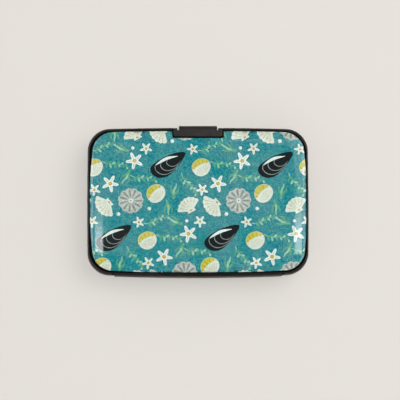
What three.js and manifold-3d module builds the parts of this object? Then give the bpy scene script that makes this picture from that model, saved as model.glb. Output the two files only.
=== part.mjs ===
import * as THREE from 'three';
import { mergeVertices } from 'three/addons/utils/BufferGeometryUtils.js';
import Module from 'manifold-3d';

const wasm = await Module();
wasm.setup();

// Sizes are in millimetres. The case lies on its back with the printed front up.
// The latch is towards +Y, the hinge towards -Y, and the two halves part at half the thickness.
const caseWidth = 110;
const caseDepth = 74;
const caseThickness = 20;
const cornerRadius = 10.5;
const sideBulge = 0.45;
const longBulge = 0.85;
const cornerSteps = 9;
const sideSteps = 3;

// Moulded rim of each half. Insets are measured inwards from the outer edge and are smaller at the short sides.
const sideShare = 0.8;
const partingGap = 0.1;
const partingChamfer = 0.3;
const wallThickness = 1.9;
const wallStraight = 3.5;
const wallDraft = 0.12;
const rimInset = 1.5;
const rimFlat = 0.2;
const rimDrop = 2.1;
const seatDepth = 1.2;
const flangeThickness = 1.1;
const flangeInset = 4.2;

// Cover plates and the aluminium sheets behind them.
const coverGap = 0.5;
const coverProud = 0.1;
const coverRoll = 9;
const coverSkin = 1.2;
const shieldSkin = 0.35;
const stackGap = 0.05;

// Hinge.
const hingeInset = 1.8;
const hingeLength = 83;
const barrelRadius = 2.6;
const barrelTaper = 0.8;
const barrelSides = 18;
const knuckleCount = 5;
const knuckleGap = 0.35;
const knuckleClearance = 0.3;
const knuckleChamfer = 0.15;
const hingePinRadius = 0.75;
const pinClearance = 0.08;
const pinSides = 16;
const openingAngle = 60;
const bevelMargin = 1;
const cheekProud = 0.1;
const cheekSwell = 0.65;
const cheekStart = 2.6;
const cheekRoot = 1.1;
const hingeSlotWidth = 0.6;
const hingeSlotDepth = 1;

// Latch lever, its pin and spring, and the catch on the back half.
const notchWidth = 25.5;
const notchDepth = 5.8;
const notchCorner = 1;
const padSideGap = 0.65;
const padEndGap = 0.8;
const padThickness = 1.75;
const padDrop = 1.25;
const padDish = 0.2;
const padCorner = 0.6;
const earGap = 0.9;
const earDepth = 0.75;
const armWidth = 18.8;
const armProud = 0.5;
const armGap = 0.3;
const channelDepth = 1.3;
const channelWall = 1.4;
const pocketFloor = 3.2;
const pocketWall = 1;
const pivotInset = 2.3;
const pivotDrop = 1.1;
const latchPinRadius = 0.6;
const bossLength = 3;
const bossMargin = 1.2;
const lugRadius = 1.2;
const hookBite = 0.7;
const hookThickness = 1.2;
const hookLead = 0.45;
const catchHeight = 2;
const catchGap = 0.3;
const springRadius = 1;
const springWire = 0.2;
const springTurns = 4;
const springPitch = 1.1;
const springSteps = 10;
const springLeg = 1.75;

// Fan of card pockets.
const pocketCount = 7;
const sheetThickness = 0.4;
const sheetHeight = 49.6;
const sheetCorner = 4;
const sheetFoot = 2;
const sheetSeam = 0.25;
const shieldGap = 1.3;
const gussetClearance = 0.8;
const sidePleat = 2.8;
const bottomPleat = 1.75;
const filmWidth = 0.7;
const tapeMargin = 0.6;

const half = caseThickness / 2;
const topEdge = caseDepth / 2;
const rimTop = half - rimDrop;
const seatHeight = rimTop - seatDepth;
const coverInset = rimInset + coverGap;
const coverEdge = rimTop + coverProud;
const shieldBottom = seatHeight + stackGap;
const shieldTop = shieldBottom + shieldSkin;
const coverSeat = shieldTop + stackGap;
const shoulder = flangeInset + 2 * shieldSkin;
const dishWidth = coverInset + coverRoll + coverSkin - shoulder;
const dishRise = half - coverSkin - coverSeat;
const dishCentre = shieldBottom + dishRise;

const hingeY = hingeInset - topEdge;
const channelY = topEdge - channelDepth;
const armInner = channelY + armGap;
const armOuter = topEdge + armProud;
const channelHalf = armWidth / 2 + earGap;
const notchBottom = topEdge - notchDepth;
const pivotY = topEdge - pivotInset;
const pivotZ = seatHeight - pivotDrop;
const padHalf = notchWidth / 2 - padSideGap;
const padTop = half - padDrop;
const padUnder = padTop - padThickness;
const padFront = notchBottom + padEndGap;
const springHalf = (springTurns * springPitch) / 2;

const gussetSide = caseWidth / 2 - sideBulge - flangeInset - gussetClearance;
const gussetBottom = longBulge - topEdge + flangeInset + gussetClearance;
const sheetHalf = gussetSide - sidePleat - sheetSeam;
const sheetBottom = gussetBottom + bottomPleat + sheetSeam;
const endSheet = dishCentre - shieldGap;
const sheetPitch = (2 * endSheet) / pocketCount;

// Rounded rectangle with slightly convex sides, counter-clockwise, inset from the outer edge.
// Corners keep their outer radius as far in as the edge of the cover plates. Swell adds to the long sides' bulge.
function outline(inset, swell = 0) {
  const halfWidth = caseWidth / 2 - sideBulge;
  const halfDepth = caseDepth / 2 - longBulge;
  const radius = Math.max(cornerRadius - Math.max(inset - coverInset, 0), 1);
  const centreX = halfWidth - sideShare * inset - radius;
  const centreY = halfDepth - inset - radius;
  const points = [];
  const add = (x, y) => {
    const wide = 1 + (sideBulge / halfWidth) * (1 - (y / halfDepth) ** 2);
    const deep = 1 + ((longBulge + swell) / halfDepth) * (1 - (x / halfWidth) ** 2);
    points.push([x * wide, y * deep]);
  };
  for (let corner = 0; corner < 4; corner += 1) {
    const signX = corner === 0 || corner === 3 ? 1 : -1;
    const signY = corner < 2 ? 1 : -1;
    for (let step = 0; step <= cornerSteps; step += 1) {
      const angle = ((corner + step / cornerSteps) * Math.PI) / 2;
      add(signX * centreX + radius * Math.cos(angle), signY * centreY + radius * Math.sin(angle));
    }
    for (let step = 1; step <= sideSteps; step += 1) {
      const share = 1 - (2 * step) / (sideSteps + 1);
      if (corner % 2 === 0) {
        add(signX * centreX * share, signY * (centreY + radius));
      } else {
        add(signX * (centreX + radius), signY * centreY * share);
      }
    }
  }
  return points;
}

function meshGeometry(positions, indices) {
  const geometry = new THREE.BufferGeometry();
  geometry.setAttribute('position', new THREE.Float32BufferAttribute(positions, 3));
  geometry.setIndex(indices);
  geometry.computeVertexNormals();
  return geometry;
}

// Rows of [inset, height], each an outline, joined side by side. The first and last row are joined or capped.
function loftGeometry(rows, capped, swell = 0) {
  const positions = [];
  const indices = [];
  const count = outline(0).length;
  for (const [inset, height] of rows) {
    for (const [x, y] of outline(inset, swell)) {
      positions.push(x, y, height);
    }
  }
  const bands = capped ? rows.length - 1 : rows.length;
  for (let row = 0; row < bands; row += 1) {
    const next = (row + 1) % rows.length;
    for (let i = 0; i < count; i += 1) {
      const j = (i + 1) % count;
      indices.push(row * count + i, row * count + j, next * count + j);
      indices.push(row * count + i, next * count + j, next * count + i);
    }
  }
  if (capped) {
    const last = rows.length - 1;
    const low = rows.length * count;
    positions.push(0, 0, rows[0][1], 0, 0, rows[last][1]);
    for (let i = 0; i < count; i += 1) {
      const j = (i + 1) % count;
      indices.push(low, j, i, low + 1, last * count + i, last * count + j);
    }
  }
  return meshGeometry(positions, indices);
}

// Quarter ellipse that starts upright at the edge and ends level.
function rollRows(inset, height, width, rise, steps) {
  const rows = [];
  for (let step = 0; step <= steps; step += 1) {
    const angle = ((step / steps) * Math.PI) / 2;
    rows.push([inset + width * (1 - Math.cos(angle)), height + rise * Math.sin(angle)]);
  }
  return rows;
}

function solidOf(geometry) {
  const bare = geometry.clone();
  bare.deleteAttribute('normal');
  bare.deleteAttribute('uv');
  const merged = mergeVertices(bare, 1e-4);
  const vertProperties = new Float32Array(merged.attributes.position.array);
  const triVerts = new Uint32Array(merged.index.array);
  return new wasm.Manifold(new wasm.Mesh({ numProp: 3, vertProperties, triVerts }));
}

function geometryOf(solid) {
  const mesh = solid.getMesh();
  return meshGeometry(Array.from(mesh.vertProperties), Array.from(mesh.triVerts));
}

function shapeOf(points) {
  return new THREE.Shape(points.map(([u, v]) => new THREE.Vector2(u, v)));
}

// Outline of [y, z] points drawn out along X.
function prismX(points, from, to) {
  const geometry = new THREE.ExtrudeGeometry(shapeOf(points), { depth: to - from, bevelEnabled: false });
  const turn = new THREE.Matrix4().makeBasis(
    new THREE.Vector3(0, 1, 0),
    new THREE.Vector3(0, 0, 1),
    new THREE.Vector3(1, 0, 0),
  );
  return geometry.applyMatrix4(turn).translate(from, 0, 0);
}

// Outline of [x, z] points drawn out along Y.
function prismY(points, from, to) {
  const geometry = new THREE.ExtrudeGeometry(shapeOf(points), { depth: to - from, bevelEnabled: false });
  return geometry.rotateX(Math.PI / 2).translate(0, to, 0);
}

function boxBetween(x0, x1, y0, y1, z0, z1) {
  const geometry = new THREE.BoxGeometry(x1 - x0, y1 - y0, z1 - z0);
  return geometry.translate((x0 + x1) / 2, (y0 + y1) / 2, (z0 + z1) / 2);
}

function rodX(radius, length, sides) {
  return new THREE.CylinderGeometry(radius, radius, length, sides).rotateZ(Math.PI / 2);
}

function frameSection() {
  const bottom = partingGap / 2;
  const rows = [
    [partingChamfer, bottom],
    [0, bottom + partingChamfer],
  ];
  rows.push(...rollRows(wallDraft, wallStraight, rimInset - rimFlat - wallDraft, rimTop - wallStraight, 4));
  rows.push([rimInset, rimTop], [rimInset, seatHeight], [flangeInset, seatHeight]);
  rows.push([flangeInset, seatHeight - flangeThickness]);
  rows.push([wallThickness + 0.5, seatHeight - flangeThickness]);
  rows.push([wallThickness, seatHeight - flangeThickness - 0.5]);
  rows.push([wallThickness, bottom]);
  return rows;
}

// Knuckle barrel between two places along the hinge, thinner towards the ends of the hinge.
function barrel(from, to, extra) {
  const radiusAt = (x) => barrelRadius - barrelTaper * ((2 * x) / hingeLength) ** 2 + extra;
  const points = [new THREE.Vector2(0, from), new THREE.Vector2(radiusAt(from) - knuckleChamfer, from)];
  const steps = 2;
  for (let step = 0; step <= steps; step += 1) {
    const x = from + knuckleChamfer + ((to - from - 2 * knuckleChamfer) * step) / steps;
    points.push(new THREE.Vector2(radiusAt(x), x));
  }
  points.push(new THREE.Vector2(radiusAt(to) - knuckleChamfer, to), new THREE.Vector2(0, to));
  const geometry = new THREE.LatheGeometry(points, barrelSides).rotateZ(-Math.PI / 2);
  return solidOf(geometry.translate(0, hingeY, 0));
}

const knuckleLength = (hingeLength - (knuckleCount - 1) * knuckleGap) / knuckleCount;
const knuckles = Array.from({ length: knuckleCount }, (_, i) => {
  const from = i * (knuckleLength + knuckleGap) - hingeLength / 2;
  return [from, from + knuckleLength];
});

// Convex strip of the wall along the hinge, a little proud of the corners.
function hingeCheek() {
  const bottom = partingGap / 2;
  const rows = [
    [cheekRoot, bottom],
    [-cheekProud, bottom],
  ];
  const width = rimInset - rimFlat + cheekProud;
  rows.push(...rollRows(-cheekProud, cheekStart, width, rimTop - cheekStart, 4));
  rows.push([rimInset - rimFlat / 4, rimTop - rimFlat], [cheekRoot, seatHeight - flangeThickness]);
  const strip = solidOf(loftGeometry(rows, false, cheekSwell));
  const end = hingeLength / 2;
  return strip.intersect(solidOf(boxBetween(-end, end, -caseDepth, hingeY + 1, -1, half)));
}

// Rim of one half with its knuckles. The bevel outside the hinge line lets the halves swing apart.
function hingedFrame(isOwn) {
  let frame = solidOf(loftGeometry(frameSection(), false)).add(hingeCheek());
  const reach = 2 * hingeInset + 2;
  const rise = reach * Math.tan(((openingAngle / 2 + bevelMargin) * Math.PI) / 180);
  const wedge = [
    [hingeY, -1],
    [hingeY, 0],
    [hingeY - reach, rise],
    [hingeY - reach, -1],
  ];
  frame = frame.subtract(solidOf(prismX(wedge.reverse(), -caseWidth, caseWidth)));
  knuckles.forEach(([from, to], i) => {
    frame = isOwn(i)
      ? frame.add(barrel(from, to, 0))
      : frame.subtract(barrel(from - knuckleGap, to + knuckleGap, knuckleClearance));
  });
  for (const sign of [-1, 1]) {
    const ends = [(sign * hingeLength) / 2, sign * (hingeLength / 2 + hingeSlotWidth)].sort((a, b) => a - b);
    const slot = boxBetween(...ends, -caseDepth, longBulge - topEdge + hingeSlotDepth, -1, half);
    frame = frame.subtract(solidOf(slot));
  }
  const bore = rodX(hingePinRadius + pinClearance, hingeLength + 2, pinSides);
  return frame.subtract(solidOf(bore.translate(0, hingeY, 0)));
}

// Upright slab that runs in from the latch edge and ends in two rounded corners.
function edgeSlab(side, end, corner, low) {
  const shape = new THREE.Shape();
  shape.moveTo(side, topEdge + 4);
  shape.lineTo(-side, topEdge + 4);
  shape.lineTo(-side, end + corner);
  shape.absarc(-side + corner, end + corner, corner, Math.PI, 1.5 * Math.PI, false);
  shape.absarc(side - corner, end + corner, corner, 1.5 * Math.PI, 2 * Math.PI, false);
  shape.closePath();
  const options = { depth: caseThickness, bevelEnabled: false, curveSegments: 4 };
  return solidOf(new THREE.ExtrudeGeometry(shape, options).translate(0, 0, low));
}

function notchCutter(margin, low) {
  return edgeSlab(notchWidth / 2 + margin, notchBottom - margin, notchCorner, low);
}

// Channel in the latch edge that the arm lies in.
function armChannel() {
  return solidOf(boxBetween(-channelHalf, channelHalf, channelY, topEdge + 4, -1, half));
}

// Thicker wall behind that channel.
function channelBacking() {
  const side = notchWidth / 2 + pocketWall;
  const top = seatHeight - flangeThickness;
  return solidOf(boxBetween(-side, side, channelY - channelWall, channelY + 0.2, partingGap / 2, top));
}

// Block that the latch pocket is sunk in, which closes it off from the inside of the half.
function pocketBlock() {
  const side = notchWidth / 2 + pocketWall;
  const low = pocketFloor - pocketWall;
  return solidOf(boxBetween(-side, side, notchBottom - pocketWall, channelY + 0.2, low, seatHeight - stackGap));
}

function frontFrame() {
  let frame = hingedFrame((i) => i % 2 === 1).add(channelBacking()).add(pocketBlock());
  frame = frame.subtract(notchCutter(0, pocketFloor));
  const side = notchWidth / 2;
  frame = frame.subtract(armChannel());
  for (const sign of [-1, 1]) {
    const ends = [sign * side, sign * (side + bossLength)].sort((a, b) => a - b);
    const low = pivotZ - bossMargin;
    const boss = boxBetween(...ends, pivotY - bossMargin, channelY - 0.1, low, seatHeight - stackGap);
    frame = frame.add(solidOf(boss));
  }
  const hole = rodX(latchPinRadius + pinClearance, notchWidth + 2 * bossLength + 1, pinSides);
  return frame.subtract(solidOf(hole.translate(0, pivotY, pivotZ)));
}

function backFrame() {
  const side = armWidth / 2 + 0.5;
  const reach = catchHeight + catchGap + hookThickness;
  const catchWindow = boxBetween(-side, side, channelY - 2, topEdge, catchHeight, reach + 0.5);
  const frame = hingedFrame((i) => i % 2 === 0).add(channelBacking());
  return frame.subtract(armChannel()).subtract(solidOf(catchWindow));
}

function coverSolid() {
  const rows = rollRows(shoulder, coverSeat, dishWidth, dishRise, 3).reverse();
  rows.push([coverInset, coverSeat], ...rollRows(coverInset, coverEdge, coverRoll, half - coverEdge, 6));
  return solidOf(loftGeometry(rows, true));
}

function shieldSolid() {
  const rows = rollRows(shoulder + 2 * shieldSkin, shieldBottom, dishWidth, dishRise, 3).reverse();
  rows.push([coverInset, shieldBottom], [coverInset, shieldTop]);
  rows.push(...rollRows(shoulder + shieldSkin, shieldTop, dishWidth, dishRise, 3));
  return solidOf(loftGeometry(rows, true));
}

// Rocker with a dished pad in the notch and an arm over the edge that ends in a hook.
function leverSolid() {
  const pad = [
    [padFront, padUnder],
    [armInner, padUnder],
    [armInner, padTop - 0.6],
    [armInner - 0.4, padTop - 0.15],
    [armInner - 0.9, padTop],
    [(padFront + armInner) / 2, padTop - padDish],
    [padFront + 0.6, padTop],
    [padFront, padTop - 0.4],
  ];
  const hookTop = -catchHeight - catchGap;
  const hookEnd = hookTop - hookThickness;
  const tip = channelY - hookBite;
  const arm = [
    [tip, hookTop],
    [tip, hookEnd + hookLead],
    [tip + hookLead, hookEnd],
    [armOuter - 0.35, hookEnd],
    [armOuter, hookEnd + 0.5],
    [armOuter, padTop - 2.2],
    [armOuter - 0.2, padTop - 1.3],
    [armOuter - 0.65, padTop - 0.6],
    [armOuter - 1.3, padTop - 0.2],
    [armInner - 0.9, padTop],
    [armInner - 0.9, padUnder],
    [armInner, padUnder - 0.8],
    [armInner, hookTop],
  ];
  let lever = solidOf(prismX(pad, -padHalf, padHalf)).intersect(edgeSlab(padHalf, padFront, padCorner, 0));
  for (const sign of [-1, 1]) {
    const ends = [(sign * armWidth) / 2, sign * (armWidth / 2 + earGap)].sort((a, b) => a - b);
    lever = lever.subtract(solidOf(boxBetween(...ends, armInner - earDepth, topEdge + 4, 0, half)));
  }
  lever = lever.add(solidOf(prismX(arm, -armWidth / 2, armWidth / 2)));
  const inner = springHalf + 2 * springWire + 0.3;
  for (const sign of [-1, 1]) {
    const ends = [sign * inner, (sign * armWidth) / 2].sort((a, b) => a - b);
    const lug = rodX(lugRadius, ends[1] - ends[0], pinSides).translate((ends[0] + ends[1]) / 2, pivotY, pivotZ);
    const web = boxBetween(...ends, pivotY - 0.9, pivotY + 0.9, pivotZ, padUnder + 0.3);
    lever = lever.add(solidOf(lug)).add(solidOf(web));
  }
  const bore = rodX(latchPinRadius + pinClearance, notchWidth + 2, pinSides);
  return lever.subtract(solidOf(bore.translate(0, pivotY, pivotZ)));
}

// Wound wire spring about the pivot, with one leg up under the pad and one down to the pocket's floor.
function springGeometry() {
  const start = Math.PI;
  const total = springTurns * 2 * Math.PI + Math.PI / 9;
  const coil = (share) => {
    const angle = start + total * share;
    const x = springHalf * (2 * share - 1);
    return new THREE.Vector3(x, springRadius * Math.cos(angle), springRadius * Math.sin(angle));
  };
  const steps = Math.round((springSteps * total) / (2 * Math.PI));
  const line = [new THREE.Vector3(-springHalf, -springRadius - 0.1, padUnder - pivotZ - 0.25)];
  for (let step = 0; step <= steps; step += 1) {
    line.push(coil(step / steps));
  }
  const end = start + total;
  const away = new THREE.Vector3(0, -Math.sin(end), Math.cos(end)).multiplyScalar(springLeg);
  line.push(line[line.length - 1].clone().add(away));
  let leastGap = Infinity;
  const dense = Array.from({ length: 400 }, (_, i) => coil(i / 399));
  dense.forEach((a, i) => {
    for (let j = i + 50; j < dense.length; j += 1) {
      leastGap = Math.min(leastGap, a.distanceTo(dense[j]) - 2 * springWire);
    }
  });
  console.log(`latch spring, least gap between turns ${leastGap.toFixed(2)} mm`);
  return wireGeometry(line, springWire, 6);
}

// Unbroken round wire along a line of points, with flat ends.
function wireGeometry(line, radius, sides) {
  const positions = [];
  const indices = [];
  line.forEach((point, i) => {
    const before = line[Math.max(i - 1, 0)];
    const after = line[Math.min(i + 1, line.length - 1)];
    const ahead = after.clone().sub(before).normalize();
    const side = new THREE.Vector3(1, 0, 0).addScaledVector(ahead, -ahead.x).normalize();
    const up = ahead.clone().cross(side);
    for (let k = 0; k < sides; k += 1) {
      const angle = (2 * Math.PI * k) / sides;
      const spot = point.clone().addScaledVector(side, radius * Math.cos(angle));
      spot.addScaledVector(up, radius * Math.sin(angle));
      positions.push(spot.x, spot.y, spot.z);
    }
  });
  const last = (line.length - 1) * sides;
  for (let row = 0; row < line.length - 1; row += 1) {
    for (let k = 0; k < sides; k += 1) {
      const next = (k + 1) % sides;
      const low = row * sides;
      indices.push(low + k, low + next, low + sides + next);
      indices.push(low + k, low + sides + next, low + sides + k);
    }
  }
  for (let k = 1; k < sides - 1; k += 1) {
    indices.push(0, k + 1, k, last, last + k, last + k + 1);
  }
  return meshGeometry(positions, indices);
}

function sheetGeometry() {
  const shape = new THREE.Shape();
  const top = sheetBottom + sheetHeight;
  shape.absarc(sheetFoot - sheetHalf, sheetBottom + sheetFoot, sheetFoot, Math.PI, 1.5 * Math.PI, false);
  shape.absarc(sheetHalf - sheetFoot, sheetBottom + sheetFoot, sheetFoot, 1.5 * Math.PI, 2 * Math.PI, false);
  shape.absarc(sheetHalf - sheetCorner, top - sheetCorner, sheetCorner, 0, Math.PI / 2, false);
  shape.absarc(sheetCorner - sheetHalf, top - sheetCorner, sheetCorner, Math.PI / 2, Math.PI, false);
  shape.closePath();
  const options = { depth: sheetThickness, bevelEnabled: false, curveSegments: 4 };
  return new THREE.ExtrudeGeometry(shape, options).translate(0, 0, -sheetThickness / 2);
}

// Cross-section of a pleated film from its inner folds at the sheets to its outer folds between them.
function pleatSection(inner, outer) {
  const film = Math.sign(outer - inner) * filmWidth;
  const near = [];
  const far = [];
  for (let fold = 0; fold <= 2 * pocketCount; fold += 1) {
    const height = half + endSheet * (fold / pocketCount - 1);
    const place = fold % 2 === 0 ? inner : outer - film;
    near.push([place, height]);
    far.push([place + film, height]);
  }
  return [...near, ...far.reverse()];
}

const blackPlastic = { color: '#2b2827', roughness: 0.5, metalness: 0 };
const printedPlate = { color: '#3f8a8e', roughness: 0.15, metalness: 0 };
const plainAluminium = { color: '#b9bcc0', roughness: 0.4, metalness: 1 };
const pinSteel = { color: '#a6a7a9', roughness: 0.3, metalness: 1 };
const pocketFilm = { color: '#33353a', roughness: 0.35, metalness: 0 };
const foamTape = { color: '#d8d6cf', roughness: 0.9, metalness: 0 };

function place(group, name, shape, look) {
  const geometry = shape instanceof wasm.Manifold ? geometryOf(shape) : shape;
  const mesh = new THREE.Mesh(geometry, new THREE.MeshStandardMaterial(look));
  mesh.name = name;
  group.add(mesh);
  return mesh;
}

const wallet = new THREE.Group();
wallet.name = 'card_wallet';
const front = new THREE.Group();
front.name = 'front_half';
front.position.z = half;
const back = new THREE.Group();
back.name = 'back_half';
back.position.z = half;
back.rotation.y = Math.PI;
const fan = new THREE.Group();
fan.name = 'pocket_fan';
wallet.add(back, fan, front);

const notch = notchCutter(0, 0);
place(front, 'front_frame', frontFrame(), blackPlastic);
place(front, 'front_cover', coverSolid().subtract(notch), printedPlate);
place(front, 'front_shield', shieldSolid().subtract(notchCutter(0.3, 0)), plainAluminium);
place(back, 'back_frame', backFrame(), blackPlastic);
place(back, 'back_cover', coverSolid(), printedPlate);
place(back, 'back_shield', shieldSolid(), plainAluminium);

const tapeX = caseWidth / 2 - sideBulge - (shoulder + 2 * shieldSkin + dishWidth) - tapeMargin;
const tapeY = topEdge - longBulge - (shoulder + 2 * shieldSkin + dishWidth) - tapeMargin;
const tapeTop = Math.min(tapeY, sheetBottom + sheetHeight - tapeMargin);
const tapeLow = endSheet + sheetThickness / 2 + stackGap;
const tapeBox = () => boxBetween(-tapeX, tapeX, -tapeY, tapeTop, tapeLow, dishCentre - stackGap);
place(front, 'front_tape', tapeBox(), foamTape);
place(back, 'back_tape', tapeBox(), foamTape);

const hingePin = place(back, 'hinge_pin', rodX(hingePinRadius, hingeLength - 0.4, pinSides), pinSteel);
hingePin.position.y = hingeY;

place(front, 'latch_lever', leverSolid(), blackPlastic);
const latchPin = place(front, 'latch_pin', rodX(latchPinRadius, notchWidth + 2 * bossLength - 1, pinSides), pinSteel);
latchPin.position.set(0, pivotY, pivotZ);
const latchSpring = place(front, 'latch_spring', springGeometry(), pinSteel);
latchSpring.position.set(0, pivotY, pivotZ);

for (let i = 0; i <= pocketCount; i += 1) {
  const sheet = place(fan, `pocket_sheet_${i}`, sheetGeometry(), pocketFilm);
  sheet.position.z = half - endSheet + i * sheetPitch;
}
const gussetTop = sheetBottom + sheetHeight - sheetCorner;
const gussetLow = sheetBottom + sheetCorner;
const rightPleat = pleatSection(gussetSide - sidePleat, gussetSide);
const leftPleat = rightPleat.map(([x, z]) => [-x, z]).reverse();
place(fan, 'gusset_right', prismY(rightPleat, gussetLow, gussetTop), pocketFilm);
place(fan, 'gusset_left', prismY(leftPleat, gussetLow, gussetTop), pocketFilm);
const bottomFold = pleatSection(gussetBottom + bottomPleat, gussetBottom).reverse();
const bottomReach = sheetHalf - sheetCorner;
place(fan, 'gusset_bottom', prismX(bottomFold, -bottomReach, bottomReach), pocketFilm);

export default wallet;
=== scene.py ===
import random
from math import atan2, cos, hypot, pi, radians, sin, sqrt, tan, tau

import bpy
from mathutils import Matrix, Vector, geometry


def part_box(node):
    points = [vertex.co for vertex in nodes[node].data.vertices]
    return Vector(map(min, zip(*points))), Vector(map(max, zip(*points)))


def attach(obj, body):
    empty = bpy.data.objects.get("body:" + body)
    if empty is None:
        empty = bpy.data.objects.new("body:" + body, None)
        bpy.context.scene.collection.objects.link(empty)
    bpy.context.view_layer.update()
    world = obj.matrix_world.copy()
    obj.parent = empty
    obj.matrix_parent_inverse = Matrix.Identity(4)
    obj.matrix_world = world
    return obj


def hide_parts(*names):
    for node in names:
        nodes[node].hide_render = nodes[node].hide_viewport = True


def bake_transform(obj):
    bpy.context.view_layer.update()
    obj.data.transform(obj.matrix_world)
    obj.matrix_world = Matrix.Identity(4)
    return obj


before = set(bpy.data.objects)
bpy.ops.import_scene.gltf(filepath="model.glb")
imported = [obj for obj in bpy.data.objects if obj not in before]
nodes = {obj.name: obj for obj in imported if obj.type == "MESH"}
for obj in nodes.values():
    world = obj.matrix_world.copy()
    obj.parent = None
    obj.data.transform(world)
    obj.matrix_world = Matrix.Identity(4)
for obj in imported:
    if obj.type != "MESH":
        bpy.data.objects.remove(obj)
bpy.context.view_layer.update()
mm = 0.001
scene = bpy.context.scene

# Case form, in mm. Heights in a half run outwards from the parting plane.
case = {
    "halfWidth": 54.55, "halfDepth": 36.15, "corner": 10.5, "cornerKeep": 2.0,
    "sideBulge": 0.45, "longBulge": 0.85, "half": 10.0, "sideShare": 0.8,
    "cornerSteps": 18, "sideSteps": 21,
}
# Edge of the print, which bows more along the sides than the plate does. Near the corners it stops
# short of the plate's edge, and the margin left there is painted near-black as shade for the gap
# round the plate.
printForm = dict(case, halfWidth=52.2, halfDepth=35.52, corner=7.9, sideBulge=3.1,
                 longBulge=1.9)
frontPlace = Matrix.Translation((0, 0, case["half"]))
backPlace = frontPlace @ Matrix.Rotation(pi, 4, "Y")


def bulged(x, y, swell=0.0, form=case):
    wide = 1 + form["sideBulge"] / form["halfWidth"] * (1 - (y / form["halfDepth"]) ** 2)
    deep = 1 + (form["longBulge"] + swell) / form["halfDepth"] * (1 - (x / form["halfWidth"]) ** 2)
    return x * wide, y * deep


def cornerAt(inset, form=case):
    return max(form["corner"] - max(inset - form["cornerKeep"], 0.0), 1.0)


def outline(inset, swell=0.0, cornerSteps=case["cornerSteps"], sideSteps=case["sideSteps"],
            form=case):  # points round the case, anticlockwise from its right side
    radius = cornerAt(inset, form)
    midX = form["halfWidth"] - form["sideShare"] * inset - radius
    midY = form["halfDepth"] - inset - radius
    points = []
    for corner in range(4):
        signX = 1 if corner in (0, 3) else -1
        signY = 1 if corner < 2 else -1
        for step in range(cornerSteps + 1):
            angle = (corner + step / cornerSteps) * pi / 2
            x = signX * midX + radius * cos(angle)
            y = signY * midY + radius * sin(angle)
            points.append(bulged(x, y, swell, form))
        for step in range(1, sideSteps + 1):
            share = 1 - 2 * step / (sideSteps + 1)
            if corner % 2 == 0:
                points.append(bulged(signX * midX * share, signY * (midY + radius), swell, form))
            else:
                points.append(bulged(signX * (midX + radius), signY * midY * share, swell, form))
    return points


def insetAt(x, y):  # the inset of the outline through a point
    u, v = x, y
    for _ in range(4):
        wide, deep = bulged(1.0, v)[0], bulged(u, 1.0)[1]
        u, v = x / wide, y / deep
    inset = 0.0
    for _ in range(12):
        radius = cornerAt(inset)
        overX = abs(u) - case["halfWidth"] + case["sideShare"] * inset + radius
        overY = abs(v) - case["halfDepth"] + inset + radius
        away = hypot(max(overX, 0), max(overY, 0)) + min(max(overX, overY), 0)
        inset += (radius - away) * (1.0 if overY > overX else 1.0 / case["sideShare"])
    return inset


def arc(midU, midV, radiusU, radiusV, start, stop, steps):
    angles = [radians(start + (stop - start) * i / steps) for i in range(steps + 1)]
    return [(midU + radiusU * cos(a), midV + radiusV * sin(a)) for a in angles]


def bend(midU, midV, radius, start, stop, steps):
    return arc(midU, midV, radius, radius, start, stop, steps)


def ccw(points):
    area = sum(a[0] * b[1] - b[0] * a[1] for a, b in zip(points, points[1:] + points[:1]))
    return points if area > 0 else points[::-1]


def linked(name, data):
    made = bpy.data.objects.new(name, data)
    scene.collection.objects.link(made)
    return made


def meshPiece(name, points, faces):
    mesh = bpy.data.meshes.new(name)
    mesh.from_pydata([Vector(p) * mm for p in points], [], faces)
    mesh.validate()
    return linked(name, mesh)


def bridged(low, high, count):  # faces between two rings of points
    pairs = [(i, (i + 1) % count) for i in range(count)]
    return [(low + i, low + j, high + j, high + i) for i, j in pairs]


def ringLoft(name, rows, swell=0.0):  # closed section of (inset, height), carried round the case
    points, faces = [], []
    for inset, height in rows:
        points += [(x, y, height) for x, y in outline(inset, swell)]
    count = len(points) // len(rows)
    for row in range(len(rows)):
        faces += bridged(row * count, (row + 1) % len(rows) * count, count)
    return meshPiece(name, points, faces)


def prism(name, section, start, stop, along):  # section drawn out along X or Z
    order = {"X": (2, 0, 1), "Z": (0, 1, 2)}[along]
    drawn = [(u, v, w) for w in (start, stop) for u, v in ccw(section)]
    count = len(section)
    faces = [tuple(range(count))[::-1], tuple(range(count, 2 * count))]
    faces += bridged(0, count, count)
    return meshPiece(name, [tuple(p[i] for i in order) for p in drawn], faces)


def block(name, lowX, highX, lowY, highY, lowZ, highZ):
    base = [(lowX, lowY), (highX, lowY), (highX, highY), (lowX, highY)]
    return prism(name, base, lowZ, highZ, "Z")


def turned(name, profile, midY, midZ, sides):  # profile of (x, radius) turned about a line along X
    points, faces = [], []
    for x, radius in profile:
        points += [(x, y, z) for y, z in bend(midY, midZ, radius, 0, 360, sides)[:-1]]
    last = len(points) - sides
    for low in range(0, last, sides):
        faces += bridged(low, low + sides, sides)
    faces += [tuple(range(sides))[::-1], tuple(range(last, last + sides))]
    return meshPiece(name, points, faces)


def combine(base, tool, operation):
    step = base.modifiers.new("combine", "BOOLEAN")
    step.operation = operation
    step.solver = "MANIFOLD"
    step.object = tool
    graph = bpy.context.evaluated_depsgraph_get()
    shaped = bpy.data.meshes.new_from_object(base.evaluated_get(graph))
    base.modifiers.clear()
    spare = base.data
    base.data = shaped
    bpy.data.meshes.remove(spare)
    bpy.data.objects.remove(tool)
    return base


def add(base, tool):
    return combine(base, tool, "UNION")


def cut(base, tool):
    return combine(base, tool, "DIFFERENCE")


def moved(piece, place):  # from a half's own heights to the shared frame
    piece.data.transform(Matrix.Scale(mm, 4) @ place @ Matrix.Scale(1 / mm, 4))
    return piece


def smoothed(piece, limit):
    mesh = piece.data
    mesh.polygons.foreach_set("use_smooth", [True] * len(mesh.polygons))
    mesh.set_sharp_from_angle(angle=radians(limit))
    return piece


print("case form ready")

# Colours are written as seen, 0 to 255.


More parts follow.
